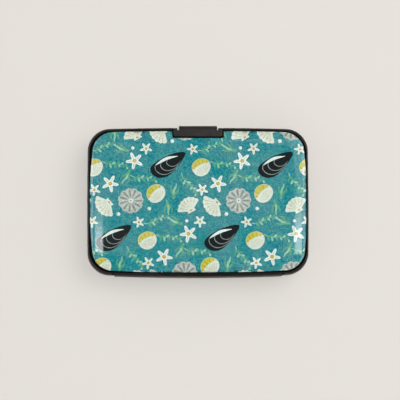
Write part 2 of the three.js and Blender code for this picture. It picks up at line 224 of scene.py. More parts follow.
def paint(red, green, blue):
    def plain(value):
        value /= 255
        return value / 12.92 if value <= 0.04045 else ((value + 0.055) / 1.055) ** 2.4
    return plain(red), plain(green), plain(blue), 1.0


floatKind, colourKind = "NodeSocketFloat", "NodeSocketColor"
noiseSpan = (0.3, 0.7)  # where most values of a noise texture lie
whole = (0.0, 1.0)
white = (1.0, 1.0, 1.0, 1.0)


def wire(tree, target, values):  # each socket takes a constant, or a link from another node
    for key, value in values.items():
        if isinstance(value, bpy.types.NodeSocket):
            tree.links.new(value, target.inputs[key])
        else:
            target.inputs[key].default_value = value


def node(tree, kind, values=None, **settings):
    made = tree.nodes.new(kind)
    for key, value in settings.items():
        setattr(made, key, value)
    wire(tree, made, values or {})
    return made


def nodeGroup(name, inputs, outputs):
    tree = bpy.data.node_groups.new(name, "ShaderNodeTree")
    for label, value in inputs.items():
        kind = floatKind if isinstance(value, float) else colourKind
        socket = tree.interface.new_socket(label, in_out="INPUT", socket_type=kind)
        socket.default_value = value
    for label, kind in outputs.items():
        tree.interface.new_socket(label, in_out="OUTPUT", socket_type=kind)
    return tree, tree.nodes.new("NodeGroupInput").outputs, tree.nodes.new("NodeGroupOutput")


def objectPlace(tree):
    return node(tree, "ShaderNodeTexCoord").outputs["Object"]


def noise(tree, place, scale, detail, rough=0.55):
    values = {"Vector": place, "Scale": scale, "Detail": detail, "Roughness": rough}
    return node(tree, "ShaderNodeTexNoise", values).outputs["Fac"]


def sums(tree, operation, *values):
    made = node(tree, "ShaderNodeMath", dict(enumerate(values)), operation=operation)
    return made.outputs["Value"]


def ranged(tree, value, span, goal):
    values = {"Value": value, "From Min": span[0], "From Max": span[1],
              "To Min": goal[0], "To Max": goal[1]}
    return node(tree, "ShaderNodeMapRange", values).outputs["Result"]


def blended(tree, share, first, second):
    values = {"Factor": share, 6: first, 7: second}  # the colour sockets A and B
    return node(tree, "ShaderNodeMix", values, data_type="RGBA").outputs[2]


def makeMouldGrain():  # fine spark-eroded texture of a moulding tool
    tree, given, result = nodeGroup("mouldGrain", {"Scale": 4000.0},
                                    {"Height": floatKind, "Tone": floatKind})
    place, scale = objectPlace(tree), given["Scale"]
    fine = noise(tree, place, scale, 2.0)
    spread = {"Vector": place, "Scale": scale}
    pits = node(tree, "ShaderNodeTexVoronoi", spread, feature="SMOOTH_F1")
    wire(tree, result, {
        "Height": sums(tree, "ADD", fine, pits.outputs["Distance"]),
        "Tone": noise(tree, place, 90.0, 4.0)})
    return tree


def makeHandling():  # dust and rubbed patches from pockets and fingers
    tree, given, result = nodeGroup("handling", {"Low": 0.55, "High": 0.8}, {"Mask": floatKind})
    place = objectPlace(tree)
    patches = noise(tree, place, 140.0, 5.0, 0.6)
    specks = noise(tree, place, 2600.0, 2.0)
    both = sums(tree, "MULTIPLY_ADD", specks, 0.35, patches)
    wire(tree, result, {"Mask": ranged(tree, both, (given["Low"], given["High"]), whole)})
    return tree


def makeInkMottle():  # uneven tone of a screened ink
    tree, given, result = nodeGroup(
        "inkMottle", {"Ink": white, "Shade": white, "Scale": 500.0, "Grain": 0.18},
        {"Color": colourKind, "Gloss": floatKind, "Height": floatKind})
    place = objectPlace(tree)
    cloud = noise(tree, place, given["Scale"], 6.0, 0.62)
    share = ranged(tree, cloud, (0.36, 0.64), whole)
    dots = ranged(tree, noise(tree, place, 1900.0, 2.0), noiseSpan, (-1.0, 1.0))
    drift, driftSpan = noise(tree, place, 75.0, 2.0), (0.35, 0.65)  # slow, across the sheet
    level = ranged(tree, drift, driftSpan, (1.06, 0.94))
    toned = node(tree, "ShaderNodeHueSaturation", {
        "Color": blended(tree, share, given["Ink"], given["Shade"]),
        "Saturation": ranged(tree, drift, driftSpan, (0.9, 1.1)),
        "Value": sums(tree, "MULTIPLY_ADD", dots, given["Grain"], level)})
    wire(tree, result, {
        "Color": toned.outputs["Color"],
        "Gloss": ranged(tree, noise(tree, place, 60.0, 4.0), noiseSpan, (0.07, 0.13)),
        "Height": noise(tree, place, 900.0, 2.0)})
    return tree


mouldGrain = makeMouldGrain()
handling = makeHandling()
inkMottle = makeInkMottle()


def placed(tree, group, values):
    return node(tree, "ShaderNodeGroup", values, node_tree=group).outputs


def finish(name, values):
    material = bpy.data.materials.new(name)
    material.use_nodes = True
    shader = material.node_tree.nodes["Principled BSDF"]
    wire(material.node_tree, shader, values)
    return material, material.node_tree, shader


def bumped(tree, height, strength, depth):
    values = {"Height": height, "Strength": strength, "Distance": depth * mm}
    return node(tree, "ShaderNodeBump", values).outputs["Normal"]


def handled(tree, low, high, colour, rubbed):
    mask = placed(tree, handling, {"Low": low, "High": high})["Mask"]
    return blended(tree, mask, colour, rubbed)


def mouldedPlastic(name, colour, dusty, gloss, grain, shine=0.26):
    material, tree, shader = finish(name, {"Specular IOR Level": shine})
    texture = placed(tree, mouldGrain, {"Scale": grain})
    wire(tree, shader, {
        "Base Color": handled(tree, 0.62, 0.95, paint(*colour), paint(*dusty)),
        "Roughness": ranged(tree, texture["Tone"], noiseSpan, gloss),
        "Normal": bumped(tree, texture["Height"], 0.35, 0.03)})
    return material


def printedInk(name, ink, shade, scale, grain=0.18):
    material, tree, shader = finish(name, {"IOR": 1.5})
    tones = {"Ink": paint(*ink), "Shade": paint(*shade), "Scale": scale, "Grain": grain}
    texture = placed(tree, inkMottle, tones)
    wire(tree, shader, {
        "Base Color": texture["Color"],
        "Roughness": texture["Gloss"],
        "Normal": bumped(tree, texture["Height"], 0.12, 0.02)})
    return material


def brushedMetal(name, colour, dark, lines, gloss):
    material, tree, shader = finish(name, {"Metallic": 1.0})
    stretch = node(tree, "ShaderNodeMapping", {"Vector": objectPlace(tree), "Scale": lines})
    streaks = noise(tree, stretch.outputs["Vector"], 1.0, 4.0, 0.6)
    dull = paint(*dark)
    tone = blended(tree, ranged(tree, streaks, noiseSpan, whole), paint(*colour), dull)
    wire(tree, shader, {
        "Base Color": handled(tree, 0.5, 0.9, tone, dull),
        "Roughness": ranged(tree, streaks, noiseSpan, gloss),
        "Normal": bumped(tree, streaks, 0.2, 0.02)})
    return material


def filmPlastic(name, colour, dusty):
    material, tree, shader = finish(name, {"Specular IOR Level": 0.45})
    texture = placed(tree, mouldGrain, {"Scale": 2500.0})
    wire(tree, shader, {
        "Base Color": handled(tree, 0.5, 0.95, paint(*colour), paint(*dusty)),
        "Roughness": ranged(tree, texture["Tone"], noiseSpan, (0.28, 0.42)),
        "Normal": bumped(tree, texture["Height"], 0.25, 0.02)})
    return material


def foam(name, colour, dark):
    material, tree, shader = finish(name, {"Specular IOR Level": 0.2})
    values = {"Vector": objectPlace(tree), "Scale": 2200.0}
    cells = node(tree, "ShaderNodeTexVoronoi", values).outputs["Distance"]
    share = ranged(tree, cells, (0.2, 0.9), whole)
    wire(tree, shader, {
        "Base Color": blended(tree, share, paint(*colour), paint(*dark)),
        "Roughness": ranged(tree, cells, whole, (0.75, 0.95)),
        "Normal": bumped(tree, cells, 0.5, 0.08)})
    return material


rimBlack = mouldedPlastic("rimBlack", (19, 16, 15), (38, 34, 32), (0.36, 0.5), 5200.0, 0.24)
# Near-black with little shine: painted shade for the gap round the plate, the hinge slots and the
# latch pocket.
paintedShadeBlack = mouldedPlastic("paintedShadeBlack", (4, 4, 4), (9, 9, 9), (0.6, 0.75), 3000.0, 0.06)
latchBlack = mouldedPlastic("latchBlack", (34, 30, 29), (52, 48, 46), (0.4, 0.54), 5200.0)
shieldAluminium = brushedMetal("shieldAluminium", (205, 206, 208), (168, 170, 173),
                               (60, 5200, 60), (0.28, 0.45))
pinSteel = brushedMetal("pinSteel", (190, 190, 191), (140, 141, 143), (5200, 60, 60), (0.2, 0.34))
blackSteel = brushedMetal("blackSteel", (58, 57, 57), (38, 37, 37), (5200, 60, 60), (0.34, 0.5))
springSteel = brushedMetal("springSteel", (182, 180, 176), (128, 126, 123),
                           (900, 900, 900), (0.22, 0.36))
smokedFilm = filmPlastic("smokedFilm", (64, 66, 70), (94, 96, 100))
pleatFilm = filmPlastic("pleatFilm", (56, 58, 62), (86, 88, 92))
tapeFoam = foam("tapeFoam", (222, 220, 212), (176, 173, 164))
print("finishes ready")

# Ink name: main tone, second tone, scale of the mottle and, for the ground, its grain.
inks = {
    "teal": ((21, 125, 145), (66, 153, 146), 640.0, 0.6),
    "cream": ((208, 221, 203), (222, 235, 221), 300.0),
    "sand": ((190, 182, 148), (204, 198, 168), 500.0),
    "yellow": ((190, 189, 68), (203, 203, 102), 460.0),
    "ochre": ((188, 146, 62), (204, 168, 88), 500.0),
    "stone": ((173, 183, 174), (191, 200, 190), 420.0),
    "slate": ((122, 134, 132), (144, 156, 152), 420.0),
    "ebony": ((3, 16, 18), (8, 24, 26), 420.0),
    "white": ((218, 233, 225), (228, 242, 235), 300.0),
    "leaf": ((138, 190, 162), (160, 206, 180), 420.0),
    "moss": ((78, 156, 122), (98, 172, 136), 420.0),
}
inkOrder = list(inks)
inkFinish = {name: printedInk("ink" + name.capitalize(), *tones) for name, tones in inks.items()}

# Motifs of the print, one unit large, each a list of (ink, points) from the lowest up.


def polar(radius, angle, midY=0.0):
    return radius * cos(angle), midY + radius * sin(angle)


def oval(midX, midY, wide, tall, turn=0.0, steps=18):
    c, s = cos(turn), sin(turn)
    flat = arc(0, 0, wide, tall, 0, 360, steps)[:-1]
    return [(midX + x * c - y * s, midY + x * s + y * c) for x, y in flat]


def strip(path, widths):  # band of changing width along a path
    left, right = [], []
    for i, (x, y) in enumerate(path):
        before, after = path[max(i - 1, 0)], path[min(i + 1, len(path) - 1)]
        angle = atan2(after[1] - before[1], after[0] - before[0]) + pi / 2
        left.append((x + widths[i] * cos(angle), y + widths[i] * sin(angle)))
        right.append((x - widths[i] * cos(angle), y - widths[i] * sin(angle)))
    return left + right[::-1]


def fanShell():
    base, ribs = -0.62, 7
    rim = []
    for i in range(ribs * 6 + 1):  # six points to a rib
        share = i / (ribs * 6)
        angle = radians(22 + 136 * share)
        radius = 1.42 + 0.1 * abs(sin(pi * ribs * share))
        rim.append(polar(radius, angle, base))
    low, high = base - 0.2, base + 0.2
    shapes = [("cream", [(-0.5, low), (0.5, low), (0.36, high), (-0.36, high)]),
              ("cream", [(-0.2, base - 0.04), (0.2, base - 0.04)] + rim)]
    for rib in range(1, ribs):
        angle = radians(22 + 136 * rib / ribs)
        path = [polar(r, angle, base) for r in (0.32, 0.8, 1.3)]
        shapes.append(("sand", strip(path, (0.012, 0.03, 0.045))))
    band = [polar(1.02, radians(a), base) for a in range(30, 151, 12)]
    shapes.append(("sand", strip(band, [0.018] * len(band))))
    shapes.append(("ochre", oval(0, base + 0.02, 0.16, 0.1)))
    return shapes


def cockle():
    body = oval(0, 0, 1.0, 0.92, 0, 36)
    low = arc(0, 0, 0.97, 0.89, 188, 352, 22)
    dip = [(x, -0.12 - 0.16 * (1 - x * x)) for x in (0.7, 0.4, 0.0, -0.4, -0.7)]
    shapes = [("cream", body), ("yellow", low + dip)]
    for rib in range(-3, 4):
        lean = 0.3 * rib
        away = (sin(lean), -cos(lean))
        upper = [(away[0] * r, 0.84 + away[1] * r) for r in (0.22, 0.6, 0.94 - 0.02 * abs(rib))]
        lower = [(away[0] * r, 0.84 + away[1] * r) for r in (1.16, 1.4, 1.66 - 0.055 * rib * rib)]
        shapes.append(("sand", strip(upper, (0.012, 0.025, 0.03))))
        shapes.append(("ochre", strip(lower, (0.035, 0.05, 0.02))))
    return shapes


def urchin():
    lobes = 11
    rim = []
    for i in range(lobes * 6):
        angle = tau * i / (lobes * 6)
        radius = 0.9 + 0.1 * abs(cos(lobes * angle / 2))
        rim.append(polar(radius, angle))
    shapes = [("stone", rim)]
    for rib in range(lobes):
        angle = tau * (rib + 0.5) / lobes
        path = [polar(r, angle + 0.22 * sin(2.2 * r)) for r in (0.24, 0.5, 0.72, 0.88)]
        shapes.append(("slate", strip(path, (0.02, 0.065, 0.085, 0.05))))
        side = tau * rib / lobes + 0.2
        shapes.append(("cream", oval(*polar(0.6, side), 0.05, 0.035, side, 10)))
    shapes.append(("cream", oval(0, 0, 0.17, 0.17)))
    shapes.append(("slate", oval(0, 0, 0.07, 0.07, 0, 12)))
    return shapes


def mussel():
    body = []
    for i in range(44):
        angle = tau * i / 44
        x = cos(angle)
        fat = 0.43 * (1 - 0.42 * x) + 0.05 * sin(2 * angle)
        body.append((x, 0.1 * x * x - 0.05 + fat * sin(angle)))
    shapes = [("ebony", body)]
    for depth in (0.86, 0.7, 0.52):
        path = [(0.9 + depth * (x - 0.9), 0.02 + depth * (y - 0.02)) for x, y in body[13:36]]
        widths = [0.006 + 0.014 * sin(pi * i / 22) for i in range(23)]
        shapes.append(("slate", strip(path, widths)))
    swells = [sin(pi * i / 8) for i in range(9)]
    streak = [(-0.62 + 1.2 * i / 8, 0.25 + 0.1 * s - 0.02 * i) for i, s in enumerate(swells)]
    shapes.append(("white", strip(streak, [0.012 + 0.06 * s for s in swells])))
    return shapes


def seaStar():
    body = []
    for i in range(60):
        angle = tau * i / 60
        radius = 0.4 + 0.6 * (0.5 + 0.5 * cos(5 * angle)) ** 1.5
        body.append(polar(radius, angle))
    shapes = [("white", body)]
    for arm in range(5):
        path = [polar(r, tau * arm / 5) for r in (0.3, 0.5, 0.78)]
        shapes.append(("sand", strip(path, (0.03, 0.035, 0.012))))
    shapes.append(("ochre", oval(0, 0, 0.21, 0.21)))
    shapes.append(("yellow", oval(0.02, 0.03, 0.1, 0.1, 0, 12)))
    return shapes


def weedSprig():
    path = [(-1 + 2 * i / 12, 0.16 * sin(2.4 * (-1 + 2 * i / 12))) for i in range(13)]
    shapes = [("leaf", strip(path, [0.035 - 0.0015 * i for i in range(13)]))]
    for i in range(2, 13):
        x, y = path[i]
        side = 1 if i % 2 else -1
        long = 0.24 - 0.011 * i
        turn = side * 0.95
        midX, midY = x + long * 0.8 * cos(turn), y + long * 0.8 * sin(turn)
        shapes.append(("leaf" if i % 4 < 2 else "moss", oval(midX, midY, long, 0.085, turn, 14)))
    return shapes


def kelp():
    shapes = []
    for lean, long, ink in ((-0.45, 0.86, "moss"), (0.05, 1.0, "leaf"), (0.5, 0.8, "moss")):
        path, widths = [], []
        for i in range(13):
            share = i / 12
            sway = lean * share + 0.07 * sin(9 * share + 3 * lean)
            path.append((sway, -0.9 + 1.8 * long * share))
            widths.append(0.02 + 0.1 * sin(pi * share) ** 0.8)
        shapes.append((ink, strip(path, widths)))
    return shapes


def pearl():
    shine = bend(0, 0, 0.6, 200, 320, 8)
    return [("white", oval(0, 0, 1, 1)), ("sand", strip(shine, [0.12] * len(shine)))]


# The register is how far the print sits off the plate's middle, in mm.
printLayout = {
    "seed": 23, "repeat": (53.0, 36.0), "rounds": 420, "push": 0.3, "spacing": 1.12,
    "wobble": 0.018, "margin": 9.0, "register": (0.2, 0.12),
    "frontShift": (13.0, -17.0), "backShift": (19.0, 7.0),
    "motifs": (  # how many in one repeat, their half sizes and keep-clear radii in mm
        (mussel, 1, (9.6, 9.8), 9.0),
        (urchin, 1, (6.3, 6.4), 7.0),
        (fanShell, 2, (4.4, 4.7), 5.8),
        (cockle, 2, (4.6, 4.9), 5.6),
        (seaStar, 2, (4.3, 4.6), 4.8),
        (seaStar, 3, (2.9, 3.2), 3.6),
        (weedSprig, 4, (5.8, 6.5), 4.4),
        (kelp, 4, (4.3, 4.8), 3.9),
        (pearl, 3, (0.7, 0.95), 1.5),
    ),
}


def repeatShifts(reach):
    wide, tall = printLayout["repeat"]
    places = range(-reach, reach + 1)
    return [(i * wide + j * wide / 2, j * tall) for j in places for i in places]


def tossPrint():  # motifs tossed in one repeat and pushed apart until they sit evenly
    chance = random.Random(printLayout["seed"])
    wide, tall = printLayout["repeat"]
    spots = []
    for draw, count, sizes, clear in printLayout["motifs"]:
        for _ in range(count):
            spots.append({
                "draw": draw, "clear": clear,
                "x": chance.uniform(0, wide), "y": chance.uniform(0, tall),
                "size": chance.uniform(*sizes), "turn": chance.uniform(0, tau),
                "phase": chance.uniform(0, 6)})
    near = repeatShifts(1)
    for _ in range(printLayout["rounds"]):
        for a in spots:
            pushX = pushY = 0.0
            for b in spots:
                for shiftX, shiftY in near:
                    if a is b and shiftX == shiftY == 0:
                        continue
                    gapX, gapY = a["x"] - b["x"] - shiftX, a["y"] - b["y"] - shiftY
                    apart = hypot(gapX, gapY)
                    both = a["clear"] + b["clear"]
                    want = both * printLayout["spacing"]
                    if 1e-6 < apart < want:
                        force = (want - apart) / apart * b["clear"] / both
                        pushX += gapX * force
                        pushY += gapY * force
            a["x"] += printLayout["push"] * pushX
            a["y"] += printLayout["push"] * pushY
    return spots


printSpots = tossPrint()


def printShapes(shift):  # every motif that may touch the plate, as (ink, points in mm)
    found, margin = [], printLayout["margin"]
    for spot in printSpots:
        drawn = spot["draw"]()
        c, s = cos(spot["turn"]), sin(spot["turn"])
        for offX, offY in repeatShifts(3):
            midX, midY = spot["x"] + offX + shift[0], spot["y"] + offY + shift[1]
            midX -= printLayout["repeat"][0] / 2
            if abs(midX) > case["halfWidth"] + margin or abs(midY) > case["halfDepth"] + margin:
                continue
            for ink, points in drawn:
                laid = []
                for x, y in points:
                    swing = sin(3 * atan2(y, x) + spot["phase"])
                    grow = spot["size"] * (1 + printLayout["wobble"] * swing)
                    turnX, turnY = x * c - y * s, x * s + y * c
                    laid.append((midX + grow * turnX, midY + grow * turnY))
                found.append((ink, laid))
    return found


print("print laid out,", len(printSpots), "motifs in a repeat")

# Printed cover plates: flat middle, edges rolled down to the rim.
plate = {
    "inset": 2.0, "edge": 8.0, "roll": 9.0,
    "seat": 7.15, "shoulder": 4.9, "dishWidth": 7.3, "dishRise": 1.65,
    "rollRings": (0.12, 0.4, 0.8, 1.35, 2.05, 2.9, 3.9, 5.0, 6.3, 7.6, 9.0),
    "dishRings": (2.6, 4.3, 4.9, 5.4, 6.3, 7.6, 9.2, 11.2, 12.4, 16.0, 24.0),
    "innerSteps": ((13.0, 3), (10.0, 10)),  # past this inset a ring has fewer points
    "normalStep": 0.02, "mergeGap": 1e-5,
}
notch = {"half": 12.75, "bottom": 31.2, "corner": 1.0}


def rollShare(x, y, start, wide):  # 0 at the foot of a rolled edge, 1 on the flat
    return min(max((insetAt(x, y) - start) / wide, 0.0), 1.0)


def rolledHeight(low, rise, share):
    return low + rise * sqrt(max(1 - (1 - share) ** 2, 0.0))


def topHeight(x, y):
    share = rollShare(x, y, plate["inset"], plate["roll"])
    return rolledHeight(plate["edge"], case["half"] - plate["edge"], share)


def topNormal(x, y):
    step = plate["normalStep"]
    slopeX = insetAt(x + step, y) - insetAt(x - step, y)
    slopeY = insetAt(x, y + step) - insetAt(x, y - step)
    long = hypot(slopeX, slopeY) or 1.0
    flat = 1 - rollShare(x, y, plate["inset"], plate["roll"])
    out = flat / plate["roll"]
    up = sqrt(max(1 - flat * flat, 0.0)) / (case["half"] - plate["edge"])
    return Vector((-out * slopeX / long, -out * slopeY / long, up)).normalized()


def underHeight(x, y):
    share = rollShare(x, y, plate["shoulder"], plate["dishWidth"])
    return rolledHeight(plate["seat"], plate["dishRise"], share)


def plateEdge(notched):
    edge = outline(plate["inset"])
    if not notched:
        return edge
    side, low, radius = notch["half"], notch["bottom"], notch["corner"]
    kept = [p for p in edge if not (abs(p[0]) <= side + 0.05 and p[1] > 0)]
    start = next(i for i, p in enumerate(kept) if p[1] > 0 and p[0] < 0 and kept[i - 1][0] > 0)
    atSide, above = low, case["halfDepth"] + 2
    for _ in range(40):  # where the notch's side meets the edge
        middle = (atSide + above) / 2
        if insetAt(side, middle) > plate["inset"]:
            atSide = middle
        else:
            above = middle
    slot = [(side, atSide)] + bend(side - radius, low + radius, radius, 0, -90, 6)
    slot += bend(radius - side, low + radius, radius, -90, -180, 6) + [(-side, atSide)]
    return kept[:start] + slot + kept[start:]


def triangulated(edge, rings, shapes):  # triangles inside the edge, each with the faces it lies in
    points = [Vector(p) for p in edge]
    faces = [list(range(len(edge)))]
    for _, shape in shapes:
        faces.append(list(range(len(points), len(points) + len(shape))))
        points += [Vector(p) for p in ccw(shape)]
    for inset in rings:
        fewer = (count for beyond, count in plate["innerSteps"] if inset > beyond)
        steps = next(fewer, case["cornerSteps"])
        points += [Vector(p) for p in outline(inset, 0.0, steps, max(steps, 5))]
    verts, _, tris, _, _, inside = geometry.delaunay_2d_cdt(
        points, [], faces, 1, plate["mergeGap"], True)
    kept = [(tri, lies) for tri, lies in zip(tris, inside) if 0 in lies]
    return [tuple(v) for v in verts], kept


def edgeLoop(tris):  # the open edge of the triangles, in order
    ends = {(tri[i], tri[(i + 1) % 3]): True for tri in tris for i in range(3)}
    following = {a: b for a, b in ends if (b, a) not in ends}
    first = next(iter(following))
    loop = [first]
    while following[loop[-1]] != first:
        loop.append(following[loop[-1]])
    return loop


def rounded(point):
    return round(point[0], 4), round(point[1], 4)


def makePlate(name, notched, shift, place):
    offX, offY = printLayout["register"]
    printed = [(x + offX, y + offY) for x, y in outline(plate["inset"], form=printForm)]
    shapes = [("teal", printed)] + printShapes(shift)
    edge = plateEdge(notched)
    rings = [plate["inset"] + r for r in plate["rollRings"]]
    verts, tris = triangulated(edge, rings, shapes)
    loop = edgeLoop([t for t, _ in tris])
    lowVerts, lowTris = triangulated([verts[i] for i in loop], plate["dishRings"], [])
    lowTris = [t for t, _ in lowTris]
    points = [(x, y, topHeight(x, y)) for x, y in verts]
    normals = [topNormal(x, y) for x, y in verts]
    first = len(points)
    points += [(x, y, underHeight(x, y)) for x, y in lowVerts]
    lined = {rounded(lowVerts[i]): first + i for i in edgeLoop(lowTris)}
    below = [lined[rounded(verts[i])] for i in loop]
    faces, slots, corners = [], [], []
    # The last slot is near-black painted shade: the unprinted margin and the plate's side wall,
    # where the gap round the plate falls in shadow.
    unprintedShadeSlot = len(inkOrder)
    for tri, lies in tris:
        faces.append(tuple(tri))
        slots.append(inkOrder.index(shapes[max(lies) - 1][0]) if 1 in lies else unprintedShadeSlot)
        corners += [normals[i] for i in tri]
    for tri in lowTris:
        faces.append(tuple(first + i for i in tri)[::-1])
        slots.append(inkOrder.index("cream"))
        corners += [Vector((0, 0, -1))] * 3
    # side wall of the plate, in the painted-shade black
    for i, a in enumerate(loop):
        j = (i + 1) % len(loop)
        faces.append((a, below[i], below[j], loop[j]))
        slots.append(unprintedShadeSlot)
        along = Vector(verts[loop[j]]) - Vector(verts[a])
        corners += [Vector((along.y, -along.x, 0)).normalized()] * 4
    used = sorted({i for f in faces for i in f})
    renumbered = {old: new for new, old in enumerate(used)}
    mesh = bpy.data.meshes.new(name)
    mesh.from_pydata([place @ Vector(points[i]) * mm for i in used], [],
                     [tuple(renumbered[i] for i in f) for f in faces])
    for look in [inkFinish[ink] for ink in inkOrder] + [paintedShadeBlack]:
        mesh.materials.append(look)
    mesh.polygons.foreach_set("material_index", slots)
    mesh.polygons.foreach_set("use_smooth", [True] * len(faces))
    turn = place.to_3x3()
    mesh.normals_split_custom_set([turn @ n for n in corners])
    print(name, len(mesh.polygons), "faces")
    return linked(name, mesh)


frontPlate = makePlate("frontPlate", True, printLayout["frontShift"], frontPlace)
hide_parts("front_cover")
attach(frontPlate, "front_half")
backPlate = makePlate("backPlate", False, printLayout["backShift"], backPlace)
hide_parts("back_cover")
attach(backPlate, "back_half")
print("plates done")

# Moulded rims with the hinge. Section points are (inset, height).
rim = {
    "bottom": 0.05, "edgeRound": 0.3, "wall": 1.9, "straight": 3.5, "draft": 0.12,
    "inset": 1.5, "flat": 0.2, "top": 7.9, "seat": 6.7, "lip": 0.08,
    "flange": 4.2, "flangeUnder": 5.6, "flangeRoot": 0.5, "innerRound": 0.15, "sharp": 34.0,
    "cheekProud": 0.1, "cheekSwell": 0.65, "cheekStart": 2.6, "cheekRoot": 1.1,
}
hinge = {
    "y": -35.2, "length": 83.0, "radius": 2.56, "taper": 0.8, "sides": 48,
    "knuckles": 5, "gap": 0.35, "clear": 0.3, "chamfer": 0.15, "bore": 0.83, "bevel": 31.0,
    "slotWidth": 1.0, "slotEnd": -35.35,
    "slotFoot": (5.0, 12.0),  # in the back and the front rim
}
latch = {
    "channel": 35.7, "channelHalf": 10.3, "channelWall": 1.4,
    "pocketFloor": 3.2, "pocketWall": 1.0,
    "pivotY": 34.7, "pivotZ": 5.6, "pinHole": 0.68, "boss": 3.0, "bossMargin": 1.2,
    "armHalf": 9.4, "armInner": 36.0, "armOuter": 37.5,
    "padHalf": 12.1, "padTop": 8.75, "padUnder": 7.0, "padFront": 32.0, "padDish": 0.2,
    "padCorner": 0.6, "padFrontRound": (0.6, 0.4), "padBackRound": (0.9, 0.6),
    "earGap": 0.9, "earEnd": 35.25, "armFall": 2.2, "armRoot": 0.8,
    "catch": 2.0, "window": 2.0, "windowSide": 0.5,
    "hookTop": -2.3, "hookEnd": -3.5, "hookTip": 35.0, "hookLead": 0.45, "hookRound": 0.4,
    "lug": 1.2, "webHalf": 0.9, "webOverlap": 0.3, "springRoom": 2.9,
    "topEdge": 37.0, "overlap": 0.2, "seatDrop": 0.05,
}
# Ends of the blocks that cut or bound a rim, clear of the case.
past = {"hinge": -60.0, "latch": 45.0, "side": 70.0, "low": -1.0, "high": 12.0, "slab": 20.0}
roundSides = 32


def barrel(first, last, extra):
    def radiusAt(x):
        return hinge["radius"] - hinge["taper"] * (2 * x / hinge["length"]) ** 2 + extra
    chamfer = hinge["chamfer"]
    profile = [(first, radiusAt(first) - chamfer)]
    for step in range(9):
        x = first + chamfer + (last - first - 2 * chamfer) * step / 8
        profile.append((x, radiusAt(x)))
    profile.append((last, radiusAt(last) - chamfer))
    return turned("barrel", profile, hinge["y"], 0, hinge["sides"])


def rod(radius, halfLength, y, z):
    return turned("rod", [(-halfLength, radius), (halfLength, radius)], y, z, roundSides)


def hingedRim(name, own):
    bottom, top, inset, wall = rim["bottom"], rim["top"], rim["inset"], rim["wall"]
    seat, flange, under = rim["seat"], rim["flange"], rim["flangeUnder"]
    edge, lip, root, inner = rim["edgeRound"], rim["lip"], rim["flangeRoot"], rim["innerRound"]
    straight, rollStart = rim["straight"], inset - rim["flat"]
    rows = bend(edge, bottom + edge, edge, 270, 180, 4)
    rows += arc(rollStart, straight, rollStart - rim["draft"], top - straight, 180, 90, 12)
    rows += bend(inset - lip, top - lip, lip, 90, 0, 2)
    rows += [(inset, seat), (flange, seat), (flange, under)]
    rows += [(wall + root, under), (wall, under - root)]
    rows += bend(wall - inner, bottom + inner, inner, 0, -90, 2)
    piece = ringLoft(name, rows)
    proud, start = rim["cheekProud"], rim["cheekStart"]
    cheekRows = [(rim["cheekRoot"], bottom), (-proud, bottom)]
    cheekRows += arc(rollStart, start, rollStart + proud, top - start, 180, 90, 12)
    cheekRows += [(inset - 0.05, top - 0.2), (rim["cheekRoot"], under)]  # inside the lip
    cheek = ringLoft("cheek", cheekRows, rim["cheekSwell"])
    end, axis, low, high = hinge["length"] / 2, hinge["y"], past["low"], past["high"]
    room = block("room", -end, end, past["hinge"], axis + 1, low, high)
    add(piece, combine(cheek, room, "INTERSECT"))
    reach = 6
    rise = reach * tan(radians(hinge["bevel"]))
    wedge = [(axis, low), (axis, 0), (axis - reach, rise), (axis - reach, low)]
    cut(piece, prism("wedge", wedge, -past["side"], past["side"], "X"))
    count, gap, slot = hinge["knuckles"], hinge["gap"], hinge["slotWidth"]
    length = (hinge["length"] - (count - 1) * gap) / count
    for i in range(count):
        first = i * (length + gap) - end
        if i % 2 == own:
            add(piece, barrel(first, first + length, 0))
        else:
            cut(piece, barrel(first - gap, first + length + gap, hinge["clear"]))
    for left in (-end - slot, end):
        cut(piece, block("slot", left, left + slot, past["hinge"], hinge["slotEnd"],
                         low, hinge["slotFoot"][own]))
    cut(piece, rod(hinge["bore"], end + 1, axis, 0))
    return piece


def edgeSlab(side, low, corner, bottom):  # runs in from the latch edge to two rounded corners
    shape = [(side, past["latch"]), (-side, past["latch"])]
    shape += bend(corner - side, low + corner, corner, 180, 270, 6)
    shape += bend(side - corner, low + corner, corner, 270, 360, 6)
    return prism("slab", shape, bottom, bottom + past["slab"], "Z")


def channelBacking():  # thicker wall behind the latch arm
    side, channel = notch["half"] + latch["pocketWall"], latch["channel"]
    return block("backing", -side, side, channel - latch["channelWall"],
                 channel + latch["overlap"], rim["bottom"], rim["flangeUnder"])


def armChannel():
    half = latch["channelHalf"]
    return block("channel", -half, half, latch["channel"], past["latch"], past["low"], past["high"])


def makeFrontRim():
    piece = add(hingedRim("frontRim", 1), channelBacking())
    side, low = notch["half"], notch["bottom"]
    wall, floor = latch["pocketWall"], latch["pocketFloor"]
    boss, margin, channel = latch["boss"], latch["bossMargin"], latch["channel"]
    pivotY, pivotZ, top = latch["pivotY"], latch["pivotZ"], rim["seat"] - latch["seatDrop"]
    add(piece, block("pocket", -side - wall, side + wall, low - wall, channel + latch["overlap"],
                     floor - wall, top))
    cut(piece, edgeSlab(side, low, notch["corner"], floor))
    cut(piece, armChannel())
    for left in (-side - boss, side):
        add(piece, block("boss", left, left + boss, pivotY - margin, channel - 0.1,
                         pivotZ - margin, top))
    cut(piece, rod(latch["pinHole"], side + boss + 0.5, pivotY, pivotZ))
    return moved(piece, frontPlace)


def makeBackRim():
    piece = add(hingedRim("backRim", 0), channelBacking())
    side, size, low = latch["armHalf"] + latch["windowSide"], latch["window"], latch["catch"]
    cut(piece, armChannel())
    cut(piece, block("window", -side, side, latch["channel"] - size, latch["topEdge"],
                     low, low + size))
    return moved(piece, backPlace)


